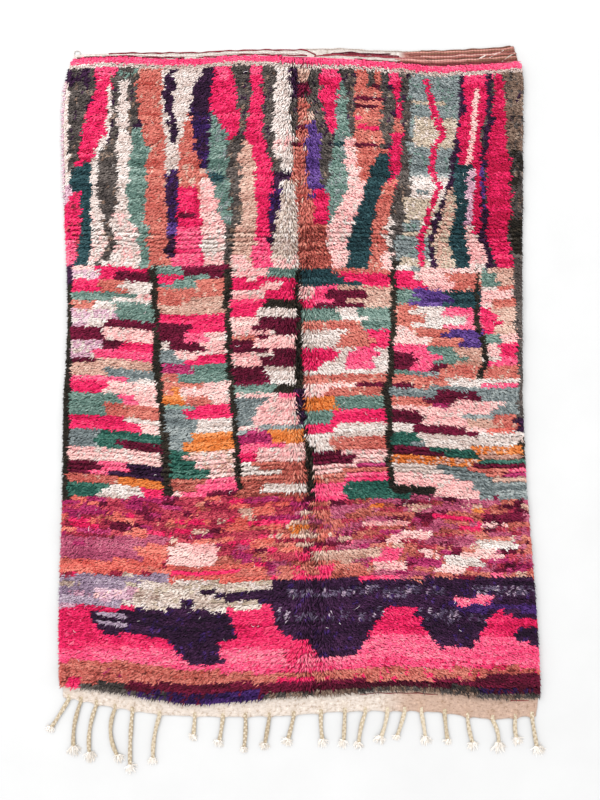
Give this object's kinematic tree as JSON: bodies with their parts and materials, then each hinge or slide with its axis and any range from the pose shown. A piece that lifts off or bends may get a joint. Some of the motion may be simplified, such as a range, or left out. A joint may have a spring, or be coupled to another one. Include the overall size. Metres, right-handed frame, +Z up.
{
  "type": "boujaad rug",
  "caption": "Hand-knotted wool pile rug with shaggy sides, flat woven ends and a plaited fringe at one end, lying flat on the floor.",
  "frame": {"origin": "on the floor, under the middle of the rug and fringe together", "axes": "+Z up from the floor, +Y along the rug away from the fringe, +X across it"},
  "size_m": [1.6584, 2.4778, 0.0205],
  "materials": {
    "pile_wool": "dyed hand-spun wool, matt",
    "warp_wool": "undyed cream wool, matt"
  },
  "bodies": {
    "root": {"rug": "pile_wool", "fringe": "warp_wool"}
  },
  "joints": []
}
